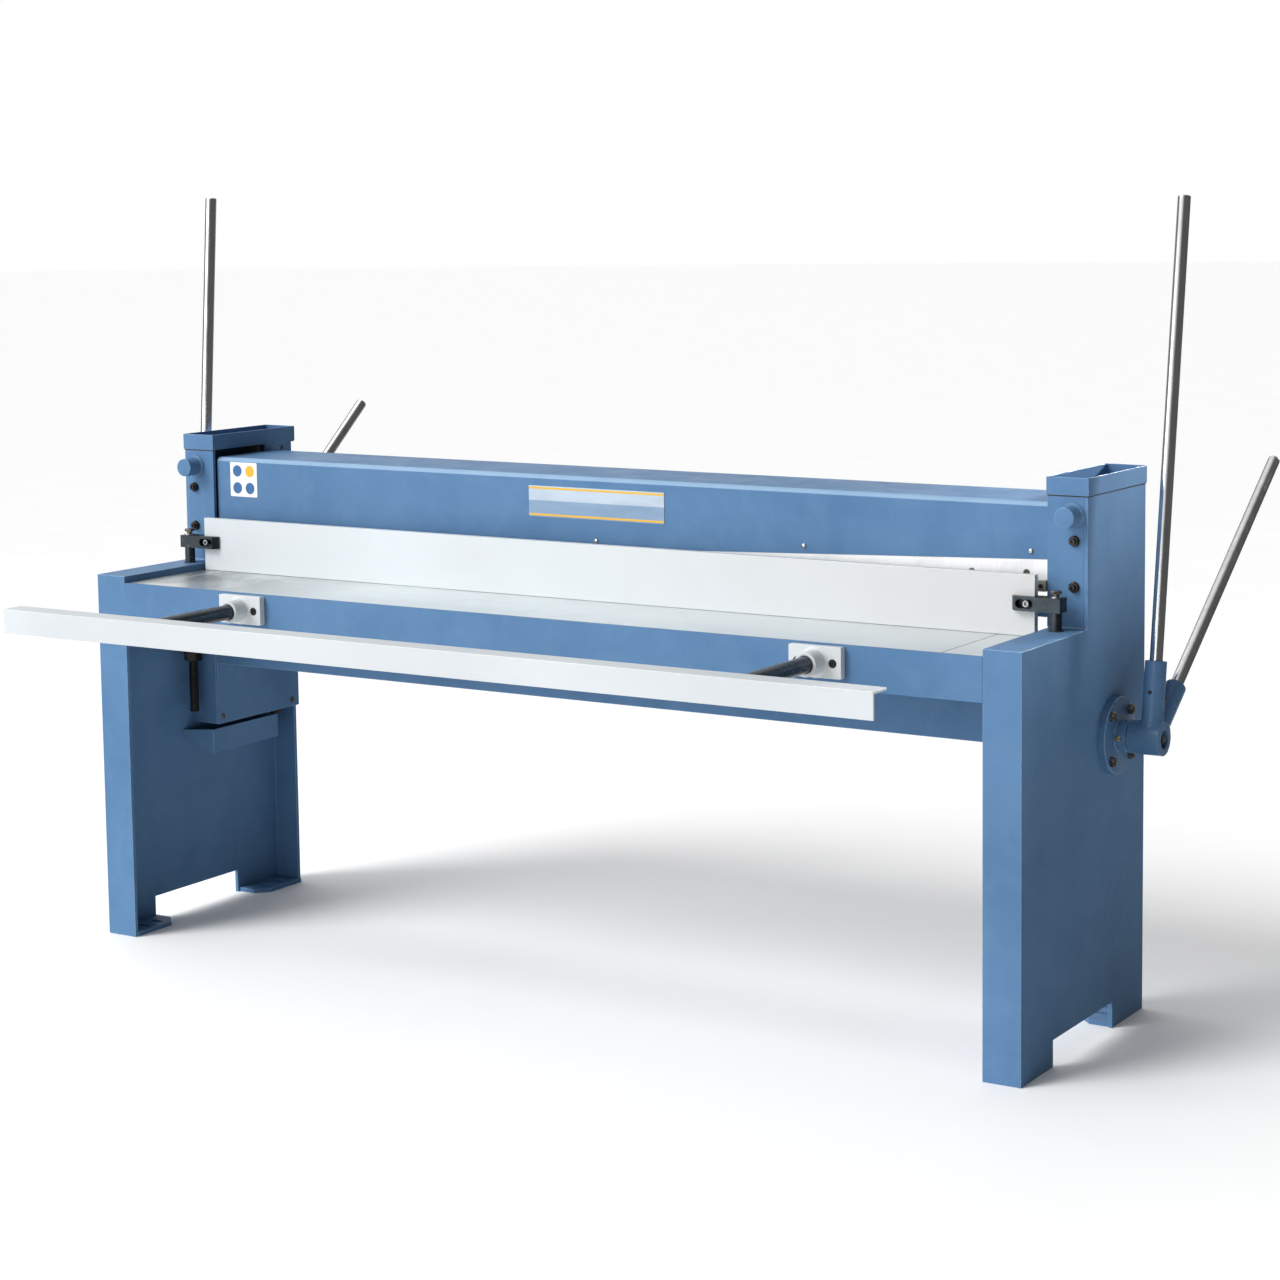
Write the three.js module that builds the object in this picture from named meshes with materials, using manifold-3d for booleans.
// Hand-lever guillotine shear for sheet metal, 2050 mm working width.
// Millimetres, +Z up, +X to the operator's right, the operator stands at -Y.
// Shapes are drawn with y = 0 at the front faces of the legs and z = 0 on the floor;
// the finished group is shifted so that its origin is the bottom centre of its box.

import * as THREE from 'three';
import { mergeVertices } from 'three/addons/utils/BufferGeometryUtils.js';
import Module from 'manifold-3d';

const wasm = await Module();
wasm.setup();

// ---------- driving dimensions ----------

const GAP = 0.3;                 // air between pieces that touch
const SHEET = 8;                 // wall of the frame plates
const HALF_WIDTH = 1110;         // centre to the outer face of a side plate
const DEPTH = 563;               // front to back of a side frame
const FLANGE = 78;               // width of a leg's front flange
const LEDGE_TOP = 799.4;         // top of the ledges beside the table
const TABLE_TOP = 785.1;
const TABLE_THICK = 10;
const APRON_BOTTOM = 701;

const COLUMN_FRONT = 287;
const COLUMN_TOP = 1050;
const COLUMN_WIDTH = 82.7;
const COLUMN_SLOT_END = 467;     // the beam's slot in a column's inner wall ends here
const TRAY_HEIGHT = 34;
const TRAY_WALL = 3;
const TRAY_LIP = 2;              // how far a cap tray stands over its column

const NOTCH = { front: 140, back: 413, height: 51.5 };
const FOOT = { thick: 10, inner: 1031, front: 140, back: 418, corner: 28, slotFrom: 22, slotTo: 42, slotHalf: 7 };
const REAR_FLANGE = 1040;        // inner edge of the flange up a side frame's back
const LIP = { thick: 4, height: 32 };
const BEARING_HOLE = 35;

const SHEAR_LINE = 296;          // rear faces of the lower blade and the cross member
const TABLE_BACK = 281;          // front face of the lower blade
const CROSS = { front: 284, bottom: 566, top: 740 };

const BEAM = { front: 297, depth: 200, top: 1034.5, half: 1024, sheet: 8, lip: 52, bend: 10 };
const EDGE_MIDDLE = 886.8;       // height of the beam's raked lower edge at x = 0
const RAKE = 0.0379;             // rise of that edge per millimetre of width
const BLADE_HEIGHT = 60;
const BLADE_GAP = 0.4;
const BLADE_BOLTS = { count: 18, first: -980, pitch: 115.3, radius: 7, drop: 26, bottom: 298.5 };
const NAME_PLATE = { half: 168, bottom: 946, top: 1011, thick: 1 };

const SHAFT = { y: 410, z: 579, radius: 25, end: 1204 };
const CRANK = { throw: 66, start: 40, pin: 14, play: 1.6, webFrom: 1040, webTo: 1058, pinTo: 1085 };
const WEB = { big: 38, small: 22 };
const CARRIAGE = { inner: 1008, outer: 1094, front: 312, back: 452, bottom: 880, top: 1000, arm: 8, armRise: 46 };
const YOKE = { from: 1062, to: 1082, front: 322, back: 378, jaw: 14, slotFrom: 1050, slotTo: 1090, slotReach: 16 };
const STRIP = { inner: 1040, outer: 1092, bottom: 802, top: 1046 };
const ADJUSTER = { hex: 11, hexHeight: 7.5, screw: 6, screwHeight: 12, hole: 6.6 };

const HOUSING = { front: 284, back: 554.7, coverBack: 562, bottom: 426, inner: 1035.3, wall: 5 };
const BRACKET = { corner: 246, front: 276, back: 497, bottom: 360, outerBottom: 393, top: 414, inner: 1040, wall: 3 };

const FLANGE_BOSS = { radius: 75, thick: 15, boss: 31, bossTo: 1147, bolts: 62, bolt: 9.8, boltHeight: 9 };
const SPIGOT = { radius: 34.5, from: 1096 };
const NIPPLE = { x: 1134, hex: 5, hexHeight: 4, stem: 3, length: 10 };
const HUB = { from: 1147.5, to: 1216, radius: 32, socket: 21, recess: 18 };
const LEVER = {
  radius: 12.5,
  seat: 56,                      // where a bar starts in its socket, from the shaft's axis
  main: { x: 1189, socketEnd: 148, length: 1037, lean: { right: 8, left: 4.2 } },
  second: { x: 1192, socketEnd: 139, length: 804, lean: { right: 53.6, left: 49.4 } },
};

const HOLD = { front: 245, thick: 15, half: 1021, top: 902 };
const POST = { x: 1065, y: 245, radius: 11, lower: 10, bottom: 460, collar: 18, collarFrom: 576, collarTo: 597 };
const POST_BOLT = { washer: 11.5, washerHeight: 2.6, shank: 6, hex: 11, hexFrom: 8, height: 14 };
const BLOCK = { front: 230, back: 262, bottom: 835, top: 862, inner: 977, outer: 1079, nose: 10 };
const BLOCK_SLOT = { from: 996, to: 1015, radius: 8.5 };

const GAUGE = { front: -373, half: 1010, bottom: 730, top: 780, sheet: 5, shelf: 50 };
const ROD = { x: 694.5, z: 751.5, radius: 16, back: 130 };
const BUSH = { width: 112, height: 60, thick: 15, boss: 23.5, bossFront: -52 };

const SEAMS = [-975, -15, 945];  // joints between the table plates

// ---------- materials ----------

const finish = (color, roughness, metalness) => new THREE.MeshStandardMaterial({ color, roughness, metalness });
const PAINT = finish(0x5b86b8, 0.45, 0);
const WHITE = finish(0xe8eaec, 0.5, 0);
const CHROME = finish(0xd8dade, 0.15, 1);
const STEEL = finish(0x9ea3a6, 0.4, 1);
const MILLED = finish(0xb9bdbb, 0.45, 1);
const BLACK = finish(0x1c1d20, 0.45, 0.6);
const BRASS = finish(0xb89a4a, 0.35, 1);
const PLATE = finish(0x9fb2c6, 0.5, 0);

// ---------- shapes ----------

const SEGMENTS = 28;
const radians = THREE.MathUtils.degToRad;

function box(x0, x1, y0, y1, z0, z1) {
  const geometry = new THREE.BoxGeometry(Math.abs(x1 - x0), y1 - y0, z1 - z0);
  return geometry.translate((x0 + x1) / 2, (y0 + y1) / 2, (z0 + z1) / 2);
}

function outline(points) {
  return points instanceof THREE.Shape ? points : new THREE.Shape(points.map(([u, v]) => new THREE.Vector2(u, v)));
}

// (y, z) outline pulled along X
function alongX(points, x0, x1) {
  const geometry = new THREE.ExtrudeGeometry(outline(points), { depth: Math.abs(x1 - x0), bevelEnabled: false });
  geometry.applyMatrix4(new THREE.Matrix4().set(0, 0, 1, 0, 1, 0, 0, 0, 0, 1, 0, 0, 0, 0, 0, 1));
  return geometry.translate(Math.min(x0, x1), 0, 0);
}

// (x, z) outline pulled along Y
function alongY(points, y0, y1) {
  const geometry = new THREE.ExtrudeGeometry(outline(points), { depth: y1 - y0, bevelEnabled: false });
  return geometry.rotateX(Math.PI / 2).translate(0, y1, 0);
}

// (x, y) outline pulled along Z
function alongZ(points, z0, z1) {
  const geometry = new THREE.ExtrudeGeometry(outline(points), { depth: z1 - z0, bevelEnabled: false });
  return geometry.translate(0, 0, z0);
}

function rod(axis, a, b, radius, from, to, sides = SEGMENTS) {
  const geometry = new THREE.CylinderGeometry(radius, radius, Math.abs(to - from), sides);
  const middle = (from + to) / 2;
  if (axis === 'x') return geometry.rotateZ(Math.PI / 2).translate(middle, a, b);
  if (axis === 'y') return geometry.translate(a, middle, b);
  return geometry.rotateX(Math.PI / 2).translate(a, b, middle);
}

function solid(geometry) {
  const plain = geometry.clone();
  plain.deleteAttribute('normal');
  plain.deleteAttribute('uv');
  const merged = mergeVertices(plain, 1e-4);
  const vertProperties = new Float32Array(merged.attributes.position.array);
  const triVerts = new Uint32Array(merged.index.array);
  return new wasm.Manifold(new wasm.Mesh({ numProp: 3, vertProperties, triVerts }));
}

function surface(manifold) {
  const { vertProperties, triVerts, numProp } = manifold.getMesh();
  const position = new Float32Array(triVerts.length * 3);
  triVerts.forEach((vertex, corner) => {
    for (let axis = 0; axis < 3; axis += 1) position[corner * 3 + axis] = vertProperties[vertex * numProp + axis];
  });
  const geometry = new THREE.BufferGeometry();
  geometry.setAttribute('position', new THREE.BufferAttribute(position, 3));
  geometry.computeVertexNormals();
  return geometry;
}

const join = (...geometries) => surface(geometries.map(solid).reduce((whole, piece) => whole.add(piece)));
const cut = (geometry, ...tools) => surface(
  tools.map(solid).reduce((rest, tool) => rest.subtract(tool), solid(geometry)),
);
const keep = (geometry, tool) => surface(solid(geometry).intersect(solid(tool)));

const machine = new THREE.Group();

function piece(name, geometry, material) {
  const mesh = new THREE.Mesh(geometry, material);
  mesh.name = name;
  machine.add(mesh);
  return mesh;
}

const SIDES = [['left', -1], ['right', 1]];

// ---------- side frames: legs, ledges and columns ----------

const insidePlate = HALF_WIDTH - SHEET;
const flangeEdge = HALF_WIDTH - FLANGE;

function sideFrame(s) {
  const profile = outline([
    [0, 0], [NOTCH.front, 0], [NOTCH.front, NOTCH.height], [NOTCH.back, NOTCH.height], [NOTCH.back, 0],
    [DEPTH, 0], [DEPTH, COLUMN_TOP], [COLUMN_FRONT, COLUMN_TOP], [COLUMN_FRONT, LEDGE_TOP], [0, LEDGE_TOP],
  ]);
  const bearingHole = new THREE.Path().absarc(SHAFT.y, SHAFT.z, BEARING_HOLE, 0, Math.PI * 2, true);
  profile.holes.push(bearingHole);
  const plate = alongX(profile, s * insidePlate, s * HALF_WIDTH);
  const frontFlange = box(s * flangeEdge, s * HALF_WIDTH, 0, SHEET, 0, LEDGE_TOP);
  const ledge = box(s * flangeEdge, s * HALF_WIDTH, 0, COLUMN_FRONT, LEDGE_TOP - SHEET, LEDGE_TOP);
  const lip = box(s * flangeEdge, s * (flangeEdge + LIP.thick), 0, COLUMN_FRONT - SHEET, LEDGE_TOP - LIP.height,
    LEDGE_TOP);
  const rearFlange = box(s * REAR_FLANGE, s * HALF_WIDTH, DEPTH - SHEET, DEPTH, 0, COLUMN_TOP);
  const postHole = rod('z', s * POST.x, POST.y, POST.radius + 0.6, LEDGE_TOP - 20, LEDGE_TOP + 20, 32);
  return cut(join(plate, frontFlange, ledge, lip, rearFlange), postHole);
}

function footPlate(s, y0, y1, corner) {
  const chamferAtEnd = corner > 0;
  const inner = FOOT.inner;
  const outer = insidePlate - GAP;
  const c = Math.abs(corner);
  const points = chamferAtEnd
    ? [[inner, y0], [outer, y0], [outer, y1], [inner + c, y1], [inner, y1 - c]]
    : [[inner, y0 + c], [inner + c, y0], [outer, y0], [outer, y1], [inner, y1]];
  const shape = new THREE.Shape(points.map(([x, y]) => new THREE.Vector2(s * x, y)));
  const plate = alongZ(shape, 0, FOOT.thick);
  const slots = [0.36, 0.68].map((part) => {
    const y = y0 + (y1 - y0) * part;
    const from = s * (inner + FOOT.slotFrom);
    const to = s * (inner + FOOT.slotTo);
    return join(
      box(from, to, y - FOOT.slotHalf, y + FOOT.slotHalf, -5, FOOT.thick + 5),
      rod('z', from, y, FOOT.slotHalf, -5, FOOT.thick + 5, 20),
      rod('z', to, y, FOOT.slotHalf, -5, FOOT.thick + 5, 20),
    );
  });
  return cut(plate, ...slots);
}

const BOLT_HEIGHTS = [878, 965];
const SPRING_POT = { x: 1079, z: 1012, rim: 25, rimHeight: 5, radius: 19.5, height: 40 };
const BOLT_X = 1083;

function columnFront(s) {
  const wall = box(s * (HALF_WIDTH - COLUMN_WIDTH), s * (insidePlate - GAP), COLUMN_FRONT, COLUMN_FRONT + SHEET,
    LEDGE_TOP + GAP, COLUMN_TOP);
  const holes = BOLT_HEIGHTS.map((z) => rod('y', s * BOLT_X, z, ADJUSTER.hole, COLUMN_FRONT - 5,
    COLUMN_FRONT + 20, 24));
  return cut(wall, ...holes);
}

function capTray(s) {
  const inner = HALF_WIDTH - COLUMN_WIDTH - TRAY_LIP;
  const outer = HALF_WIDTH + TRAY_LIP;
  const front = COLUMN_FRONT - TRAY_LIP;
  const back = DEPTH + TRAY_LIP;
  const bottom = COLUMN_TOP + GAP;
  const shell = box(s * inner, s * outer, front, back, bottom, bottom + TRAY_HEIGHT);
  const hollow = box(s * (inner + TRAY_WALL), s * (outer - TRAY_WALL), front + TRAY_WALL, back - TRAY_WALL,
    bottom + TRAY_WALL, bottom + TRAY_HEIGHT + 10);
  return cut(shell, hollow);
}

// hexagonal nut with the end of its screw, head towards -Y, reaching back to y1
function adjuster(x, z, y1) {
  return join(
    rod('y', x, z, ADJUSTER.hex, COLUMN_FRONT - GAP - ADJUSTER.hexHeight, COLUMN_FRONT - GAP, 6),
    rod('y', x, z, ADJUSTER.screw, COLUMN_FRONT - ADJUSTER.screwHeight, y1, 24),
  );
}

for (const [side, s] of SIDES) {
  piece(`side_frame_${side}`, sideFrame(s), PAINT);
  piece(`foot_front_${side}`, footPlate(s, SHEET + GAP, FOOT.front, FOOT.corner), PAINT);
  piece(`foot_rear_${side}`, footPlate(s, FOOT.back, DEPTH - SHEET - GAP, -FOOT.corner), PAINT);
  piece(`column_front_${side}`, columnFront(s), PAINT);
  piece(`column_inner_${side}`, box(s * (HALF_WIDTH - COLUMN_WIDTH), s * (HALF_WIDTH - COLUMN_WIDTH + SHEET),
    COLUMN_SLOT_END, DEPTH - SHEET - GAP, LEDGE_TOP + GAP, COLUMN_TOP), PAINT);
  piece(`cap_tray_${side}`, capTray(s), PAINT);
  piece(`spring_pot_${side}`, join(
    rod('y', s * SPRING_POT.x, SPRING_POT.z, SPRING_POT.rim, COLUMN_FRONT - GAP - SPRING_POT.rimHeight,
      COLUMN_FRONT - GAP),
    rod('y', s * SPRING_POT.x, SPRING_POT.z, SPRING_POT.radius, COLUMN_FRONT - SPRING_POT.height,
      COLUMN_FRONT - GAP - SPRING_POT.rimHeight + 1),
  ), PAINT);
  const gibBack = CARRIAGE.front - BLADE_GAP;
  piece(`guide_strip_front_${side}`, join(
    box(s * STRIP.inner, s * STRIP.outer, COLUMN_FRONT + SHEET + GAP, gibBack, STRIP.bottom, STRIP.top),
    ...BOLT_HEIGHTS.map((z) => adjuster(s * BOLT_X, z, COLUMN_FRONT + SHEET + 5)),
  ), BLACK);
  piece(`guide_strip_rear_${side}`, box(s * STRIP.inner, s * STRIP.outer, CARRIAGE.back + BLADE_GAP,
    COLUMN_SLOT_END - GAP, STRIP.bottom, STRIP.top), STEEL);
}

// ---------- table, apron, cross member and lower blade ----------

const apronHalf = flangeEdge - GAP;
const apronFront = box(-apronHalf, apronHalf, 0, SHEET, APRON_BOTTOM, TABLE_TOP);
const apronReturn = box(-apronHalf, apronHalf, 0, 40, APRON_BOTTOM, APRON_BOTTOM + 6);
const rodHoles = [-1, 1].map((s) => rod('y', s * ROD.x, ROD.z, ROD.radius + 1, -5, 20));
piece('apron', cut(join(apronFront, apronReturn), ...rodHoles), PAINT);

const tableEdges = [-apronHalf, ...SEAMS, apronHalf];
['table_end_left', 'table_left', 'table_right', 'table_end_right'].forEach((name, i) => {
  const from = tableEdges[i] + (i > 0 ? GAP : 0);
  const to = tableEdges[i + 1] - (i < 3 ? GAP : 0);
  piece(name, box(from, to, SHEET + GAP, TABLE_BACK - GAP, TABLE_TOP - TABLE_THICK, TABLE_TOP), MILLED);
});

const coverInner = HOUSING.inner - GAP - HOUSING.wall;
const crossHalf = coverInner - GAP;
piece('cross_member', box(-crossHalf, crossHalf, CROSS.front, SHEAR_LINE, CROSS.bottom, CROSS.top), PAINT);
piece('lower_blade', box(-BEAM.half, BEAM.half, TABLE_BACK, SHEAR_LINE, CROSS.top + GAP, TABLE_TOP), STEEL);

// ---------- linkage housings under the table ends ----------

for (const [side, s] of SIDES) {
  const outer = insidePlate - GAP;
  const { front, back, bottom, inner, wall } = HOUSING;
  piece(`linkage_housing_${side}`, join(
    box(s * inner, s * outer, front, front + wall, bottom, TABLE_TOP),
    box(s * inner, s * outer, front, back, bottom, bottom + wall),
    box(s * inner, s * outer, back - wall, back, bottom, TABLE_TOP),
  ), PAINT);
  const cover = box(s * coverInner, s * (coverInner + wall), front, HOUSING.coverBack, bottom, TABLE_TOP);
  piece(`housing_cover_${side}`, cut(cover, rod('x', SHAFT.y, SHAFT.z, SHAFT.radius + 2, s * 1020, s * 1050)), PAINT);

  const sided = (points) => points.map(([u, v]) => [s * u, v]);
  const plan = (inset) => sided([
    [outer + inset, BRACKET.corner + inset], [BRACKET.inner + inset, BRACKET.front + inset],
    [BRACKET.inner + inset, BRACKET.back - inset], [outer + inset, BRACKET.back - inset],
  ]);
  const section = (inset, rise) => sided([
    [outer + inset, BRACKET.outerBottom + inset], [BRACKET.inner - 1, BRACKET.bottom + inset],
    [BRACKET.inner - 1, BRACKET.top + rise], [outer + inset, BRACKET.top + rise],
  ]);
  const tray = keep(alongZ(plan(0), 300, 500), alongY(section(0, 0), 200, 600));
  const pocket = keep(alongZ(plan(BRACKET.wall), 300, 500), alongY(section(BRACKET.wall, 20), 200, 600));
  piece(`stop_bracket_${side}`, cut(tray, pocket), PAINT);
}

// ---------- shaft bearings on the side plates ----------

for (const [side, s] of SIDES) {
  const face = HALF_WIDTH + GAP;
  const bolts = [45, 135, 225, 315].map((angle) => {
    const y = SHAFT.y + FLANGE_BOSS.bolts * Math.cos(radians(angle));
    const z = SHAFT.z + FLANGE_BOSS.bolts * Math.sin(radians(angle));
    return rod('x', y, z, FLANGE_BOSS.bolt, s * (face + FLANGE_BOSS.thick / 2),
      s * (face + FLANGE_BOSS.thick + FLANGE_BOSS.boltHeight), 6);
  });
  const body = join(
    rod('x', SHAFT.y, SHAFT.z, FLANGE_BOSS.radius, s * face, s * (face + FLANGE_BOSS.thick), 40),
    rod('x', SHAFT.y, SHAFT.z, FLANGE_BOSS.boss, s * (face + 5), s * FLANGE_BOSS.bossTo),
    rod('x', SHAFT.y, SHAFT.z, SPIGOT.radius, s * SPIGOT.from, s * (face + 5)),
    ...bolts,
  );
  const bore = rod('x', SHAFT.y, SHAFT.z, SHAFT.radius + GAP, s * 1080, s * 1160);
  piece(`bearing_flange_${side}`, cut(body, bore), PAINT);
  const nippleFront = SHAFT.y - FLANGE_BOSS.boss;
  piece(`grease_nipple_${side}`, join(
    rod('y', s * NIPPLE.x, SHAFT.z, NIPPLE.hex, nippleFront - NIPPLE.hexHeight, nippleFront - GAP, 6),
    rod('y', s * NIPPLE.x, SHAFT.z, NIPPLE.stem, nippleFront - NIPPLE.length, nippleFront - NIPPLE.hexHeight + 1, 16),
  ), BRASS);
}

// ---------- moving blade beam ----------

const edgeAt = (x) => EDGE_MIDDLE + RAKE * x;

// band between two lines parallel to the raked edge
function raked(half, below, above, y0, y1) {
  return alongY([
    [-half, edgeAt(-half) + below], [half, edgeAt(half) + below],
    [half, edgeAt(half) + above], [-half, edgeAt(-half) + above],
  ], y0, y1);
}

function channel(front, back, top, wall, lip, bend) {
  const shape = new THREE.Shape();
  shape.moveTo(front, 700);
  shape.lineTo(front, top - bend);
  shape.absarc(front + bend, top - bend, bend, Math.PI, Math.PI / 2, true);
  shape.lineTo(back - bend, top);
  shape.absarc(back - bend, top - bend, bend, Math.PI / 2, 0, true);
  shape.lineTo(back, top - lip);
  shape.lineTo(back - wall, top - lip);
  shape.lineTo(back - wall, top - wall);
  shape.lineTo(front + wall, top - wall);
  shape.lineTo(front + wall, 700);
  shape.closePath();
  return shape;
}

const beamBack = BEAM.front + BEAM.depth;
const beamInside = BEAM.front + BEAM.sheet;
const foldedBeam = new THREE.ExtrudeGeometry(
  channel(BEAM.front, beamBack, BEAM.top, BEAM.sheet, BEAM.lip, BEAM.bend),
  { depth: 2 * BEAM.half, bevelEnabled: false, curveSegments: 5 },
);
foldedBeam.applyMatrix4(new THREE.Matrix4().set(0, 0, 1, 0, 1, 0, 0, 0, 0, 1, 0, 0, 0, 0, 0, 1));
foldedBeam.translate(-BEAM.half, 0, 0);
piece('beam_shell', keep(foldedBeam, raked(BEAM.half + 5, 0, 400, BEAM.front - 20, beamBack + 20)), PAINT);
piece('blade_holder', raked(CARRIAGE.inner - GAP, -54, 60, beamInside + GAP, beamInside + 20), STEEL);

const bladeBolts = Array.from({ length: BLADE_BOLTS.count }, (_, i) => BLADE_BOLTS.first + i * BLADE_BOLTS.pitch);
const bladeBack = BEAM.front + BEAM.sheet;
piece('upper_blade', cut(
  raked(BEAM.half, -BLADE_HEIGHT, -GAP, SHEAR_LINE + BLADE_GAP, bladeBack),
  ...bladeBolts.map((x) => rod('y', x, edgeAt(x) - BLADE_BOLTS.drop, BLADE_BOLTS.radius, TABLE_BACK,
    BLADE_BOLTS.bottom, 12)),
), STEEL);

const pinY = SHAFT.y - CRANK.throw * Math.cos(radians(CRANK.start));
const pinZ = SHAFT.z + CRANK.throw * Math.sin(radians(CRANK.start));

for (const [side, s] of SIDES) {
  const slotHalf = CRANK.pin + CRANK.play;
  const carriage = join(
    box(s * CARRIAGE.inner, s * (CARRIAGE.inner + CARRIAGE.arm), beamInside + GAP, beamBack - BEAM.sheet - GAP,
      CARRIAGE.bottom + CARRIAGE.armRise, BEAM.top - BEAM.sheet - GAP),
    box(s * CARRIAGE.inner, s * CARRIAGE.outer, CARRIAGE.front, CARRIAGE.back, CARRIAGE.bottom, CARRIAGE.top),
    box(s * YOKE.from, s * YOKE.to, YOKE.front, YOKE.back, pinZ - slotHalf - YOKE.jaw, CARRIAGE.bottom + 5),
  );
  const slot = join(
    box(s * YOKE.slotFrom, s * YOKE.slotTo, pinY - YOKE.slotReach, YOKE.back + 10, pinZ - slotHalf, pinZ + slotHalf),
    rod('x', pinY - YOKE.slotReach, pinZ, slotHalf, s * YOKE.slotFrom, s * YOKE.slotTo),
  );
  piece(`carriage_${side}`, cut(carriage, slot), STEEL);
}

piece('name_plate', box(-NAME_PLATE.half, NAME_PLATE.half, BEAM.front - GAP - NAME_PLATE.thick, BEAM.front - GAP,
  NAME_PLATE.bottom, NAME_PLATE.top), PLATE);

// ---------- hold-down ----------

const holdBack = HOLD.front + HOLD.thick;
piece('hold_down_bar', box(-HOLD.half, HOLD.half, HOLD.front, holdBack, TABLE_TOP + 0.5, HOLD.top), WHITE);

for (const [side, s] of SIDES) {
  const { front, back, bottom, top, inner, outer, nose } = BLOCK;
  const thinBack = HOLD.front - GAP;
  const wideFrom = HOLD.half + 0.5;
  const plan = [[inner, front + nose], [inner + nose, front], [outer, front], [outer, back], [wideFrom, back],
    [wideFrom, thinBack], [inner, thinBack]];
  const block = alongZ(plan.map(([x, y]) => [s * x, y]), bottom, top);
  const slotZ = (bottom + top) / 2;
  const slot = join(
    box(s * BLOCK_SLOT.from, s * BLOCK_SLOT.to, front - 5, thinBack + 5, slotZ - BLOCK_SLOT.radius,
      slotZ + BLOCK_SLOT.radius),
    rod('y', s * BLOCK_SLOT.from, slotZ, BLOCK_SLOT.radius, front - 5, thinBack + 5, 24),
    rod('y', s * BLOCK_SLOT.to, slotZ, BLOCK_SLOT.radius, front - 5, thinBack + 5, 24),
  );
  const postHole = rod('z', s * POST.x, POST.y, POST.radius + GAP, bottom - 5, top + 5, 32);
  piece(`clamp_block_${side}`, cut(block, slot, postHole), STEEL);
  piece(`hold_down_post_${side}`, join(
    rod('z', s * POST.x, POST.y, POST.radius, POST.collarTo - 1, top + 1),
    rod('z', s * POST.x, POST.y, POST.lower, POST.bottom, POST.collarFrom + 1),
    rod('z', s * POST.x, POST.y, POST_BOLT.washer, top + GAP, top + POST_BOLT.washerHeight),
    rod('z', s * POST.x, POST.y, POST_BOLT.shank, top + 2, top + POST_BOLT.hexFrom + 1),
    rod('z', s * POST.x, POST.y, POST_BOLT.hex, top + POST_BOLT.hexFrom, top + POST_BOLT.height, 6),
    rod('z', s * POST.x, POST.y, POST.collar, POST.collarFrom, POST.collarTo, 6),
  ), BLACK);
}

// ---------- drive shaft and levers ----------

function crank(s) {
  const arm = new THREE.Shape();
  const lean = Math.atan2(pinZ - SHAFT.z, pinY - SHAFT.y);
  const { big, small } = WEB;
  const spread = Math.acos((big - small) / CRANK.throw);
  arm.absarc(SHAFT.y, SHAFT.z, big, lean + spread, lean - spread + Math.PI * 2, false);
  arm.absarc(pinY, pinZ, small, lean - spread, lean + spread, false);
  return [
    alongX(arm, s * CRANK.webFrom, s * CRANK.webTo),
    rod('x', pinY, pinZ, CRANK.pin, s * (CRANK.webTo - 6), s * CRANK.pinTo),
  ];
}

piece('drive_shaft', join(
  rod('x', SHAFT.y, SHAFT.z, SHAFT.radius, -SHAFT.end, SHAFT.end),
  ...crank(-1),
  ...crank(1),
), STEEL);

// direction of a lever that leans back from the vertical by so many degrees
const leaning = (degrees) => new THREE.Vector3(0, Math.sin(radians(degrees)), Math.cos(radians(degrees)));

function radial(x, degrees, radius, from, to, sides = SEGMENTS) {
  const geometry = new THREE.CylinderGeometry(radius, radius, to - from, sides);
  const direction = leaning(degrees);
  geometry.applyQuaternion(new THREE.Quaternion().setFromUnitVectors(new THREE.Vector3(0, 1, 0), direction));
  const middle = direction.multiplyScalar((from + to) / 2);
  return geometry.translate(x, SHAFT.y + middle.y, SHAFT.z + middle.z);
}

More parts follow.
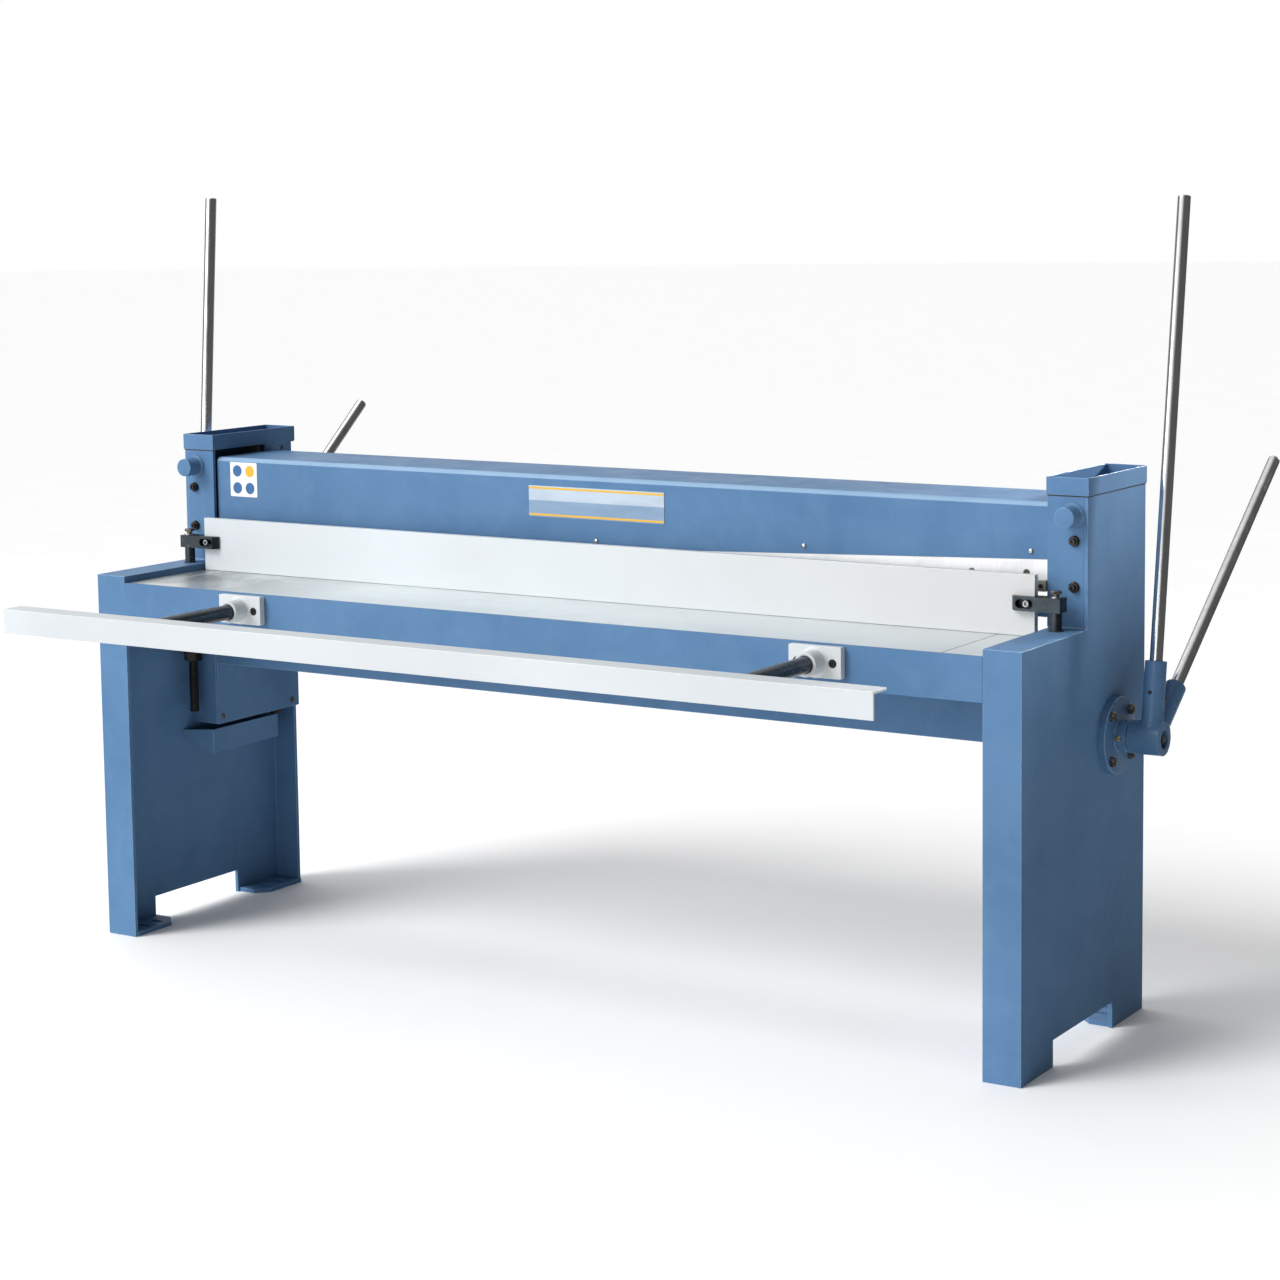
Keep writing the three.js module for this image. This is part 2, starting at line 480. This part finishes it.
for (const [side, s] of SIDES) {
  const arms = [LEVER.main, LEVER.second];
  const hub = join(
    rod('x', SHAFT.y, SHAFT.z, HUB.radius, s * HUB.from, s * HUB.to, 36),
    ...arms.map((arm) => radial(s * arm.x, arm.lean[side], HUB.socket, 15, arm.socketEnd)),
  );
  piece(`lever_hub_${side}`, cut(
    hub,
    rod('x', SHAFT.y, SHAFT.z, SHAFT.radius + GAP, s * (HUB.from - 5), s * (SHAFT.end + GAP)),
    rod('x', SHAFT.y, SHAFT.z, HUB.recess, s * SHAFT.end, s * (HUB.to + 5)),
    ...arms.map((arm) => radial(s * arm.x, arm.lean[side], LEVER.radius + GAP, LEVER.seat - GAP, arm.socketEnd + 5)),
  ), PAINT);
  ['main', 'second'].forEach((name) => {
    const arm = LEVER[name];
    piece(`lever_${name}_${side}`, radial(s * arm.x, arm.lean[side], LEVER.radius, LEVER.seat, arm.length), CHROME);
  });
}

// ---------- front gauge ----------

piece('gauge_bar', alongX([
  [GAUGE.front, GAUGE.bottom], [GAUGE.front + GAUGE.sheet, GAUGE.bottom],
  [GAUGE.front + GAUGE.sheet, GAUGE.top - GAUGE.sheet], [GAUGE.front + GAUGE.shelf, GAUGE.top - GAUGE.sheet],
  [GAUGE.front + GAUGE.shelf, GAUGE.top], [GAUGE.front, GAUGE.top],
], -GAUGE.half, GAUGE.half), WHITE);

for (const [side, s] of SIDES) {
  const x = s * ROD.x;
  piece(`gauge_rod_${side}`, rod('y', x, ROD.z, ROD.radius, GAUGE.front + GAUGE.sheet + GAP, ROD.back), BLACK);
  const plateFront = -GAP - BUSH.thick;
  const bush = join(
    box(x - BUSH.width / 2, x + BUSH.width / 2, plateFront, -GAP, 752 - BUSH.height / 2, 752 + BUSH.height / 2),
    rod('y', x, ROD.z, BUSH.boss, BUSH.bossFront, plateFront + 2),
  );
  piece(`gauge_bush_${side}`, cut(bush, rod('y', x, ROD.z, ROD.radius + GAP, BUSH.bossFront - 5, 5)), WHITE);
}

// ---------- origin: the bottom centre of the whole machine's box ----------

const extent = new THREE.Box3().setFromObject(machine);
const middle = extent.getCenter(new THREE.Vector3());
machine.position.set(-middle.x, -middle.y, -extent.min.z);

export default machine;
